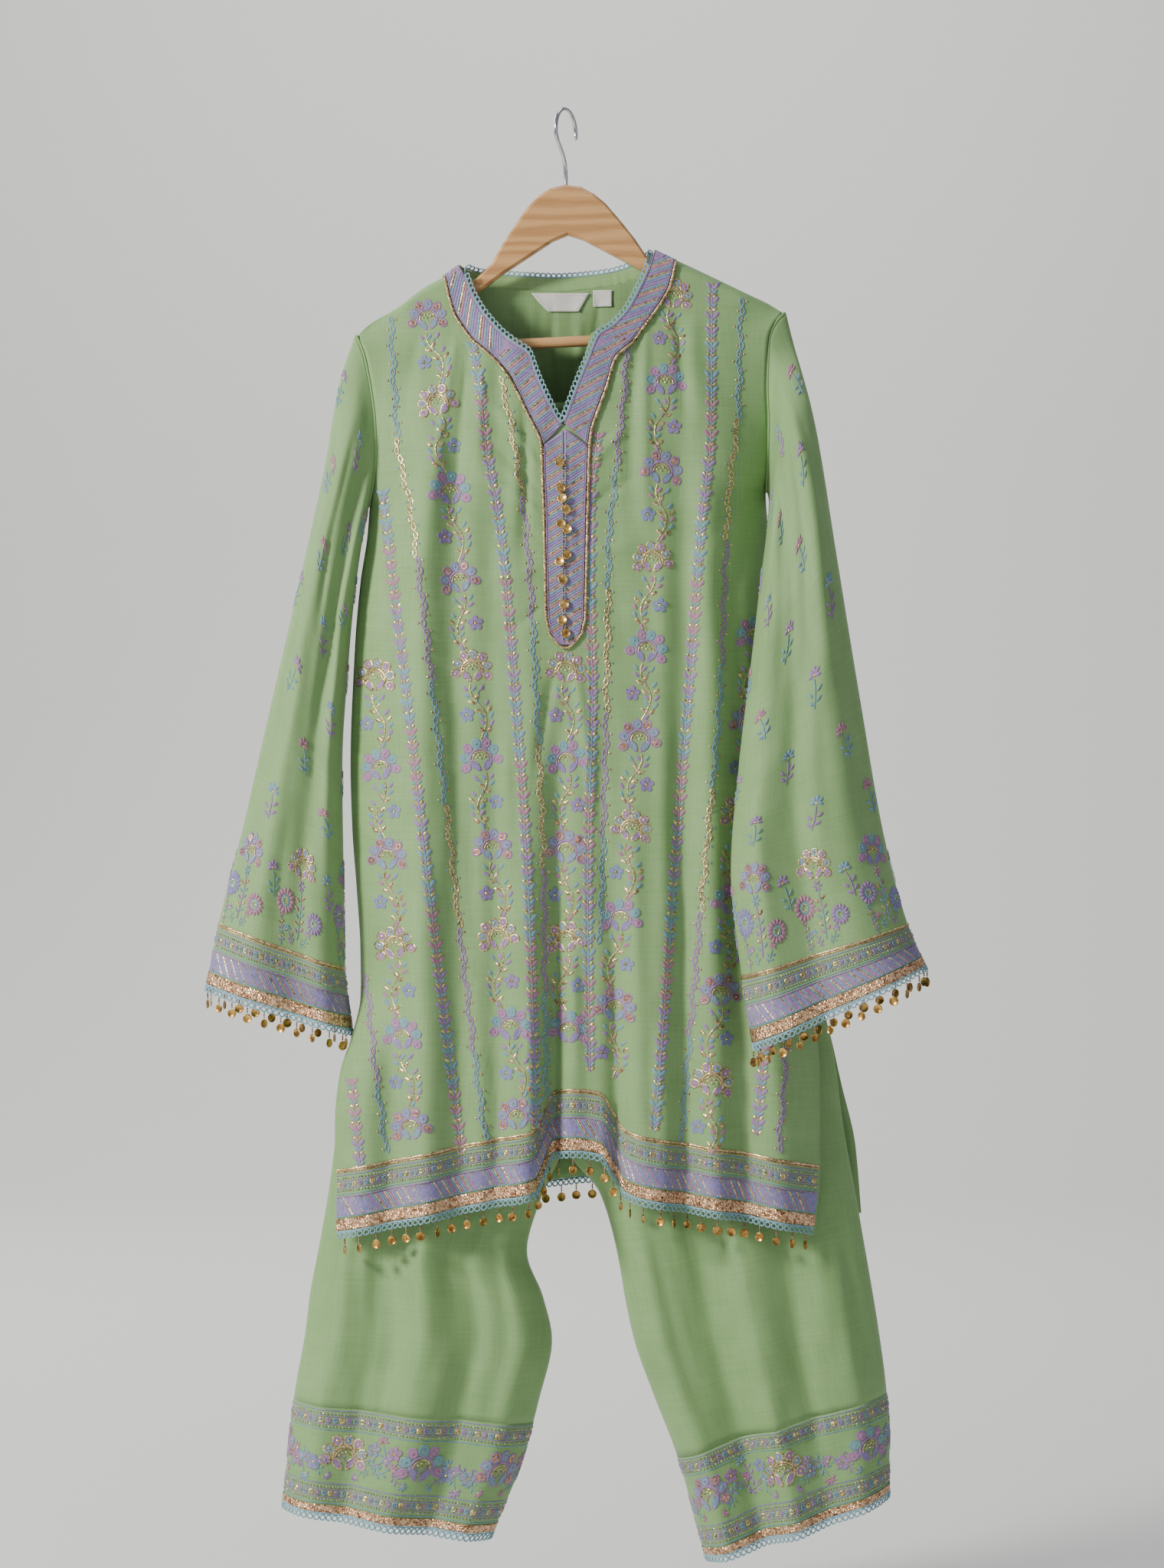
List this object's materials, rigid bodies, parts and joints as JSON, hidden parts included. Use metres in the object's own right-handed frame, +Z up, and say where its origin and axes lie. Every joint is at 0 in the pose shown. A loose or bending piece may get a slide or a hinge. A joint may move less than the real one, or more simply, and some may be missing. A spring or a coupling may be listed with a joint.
{
  "type": "farshi salwar suit on a wooden hanger",
  "caption": "Long embroidered kurta with bell sleeves over a wide salwar, hung on a wooden hanger with a trouser bar.",
  "frame": {"origin": "inside top of the hook, where it rests on a rail", "axes": "+X to the right of someone looking at the front, +Y away from them, +Z up"},
  "size_m": [0.6529, 0.1797, 1.3319],
  "materials": {
    "kurta_cloth": "pistachio green cotton silk, soft sheen, vines embroidered in lilac, powder blue and gold",
    "salwar_cloth": "pistachio green cotton silk, plain",
    "ankle_border": "green band between woven tapes with an embroidered garland",
    "neck_border": "dense slanted stripes of lilac, powder blue and gold thread",
    "picot_lace": "powder blue cotton picot lace",
    "metal_ribbon": "crinkled rose-gold metal ribbon",
    "coins": "small antique gold coins and beads",
    "label_cloth": "bare woven label",
    "hanger_wood": "clear lacquered pale wood",
    "hook_wire": "bright wire"
  },
  "bodies": {
    "root": {"hanger_arms": "hanger_wood", "trouser_bar": "hanger_wood", "hook": "hook_wire", "kurta_front": "kurta_cloth", "kurta_back": "kurta_cloth", "sleeve_left": "kurta_cloth", "sleeve_right": "kurta_cloth", "cuff_ribbon_left": "metal_ribbon", "cuff_ribbon_right": "metal_ribbon", "cuff_lace_left": "picot_lace", "cuff_lace_right": "picot_lace", "hem_ribbon_front": "metal_ribbon", "hem_ribbon_back": "metal_ribbon", "hem_lace_front": "picot_lace", "hem_lace_back": "picot_lace", "neck_band_left": "neck_border", "neck_band_right": "neck_border", "neck_band_back": "kurta_cloth", "neck_lace": "picot_lace", "placket": "neck_border", "placket_coins": "coins", "main_label": "label_cloth", "size_label": "label_cloth", "waistband": "salwar_cloth", "salwar_leg_left": "salwar_cloth", "salwar_leg_right": "salwar_cloth", "ankle_band_left": "ankle_border", "ankle_band_right": "ankle_border", "ankle_trim_left": "picot_lace", "ankle_trim_right": "picot_lace"}
  },
  "joints": []
}
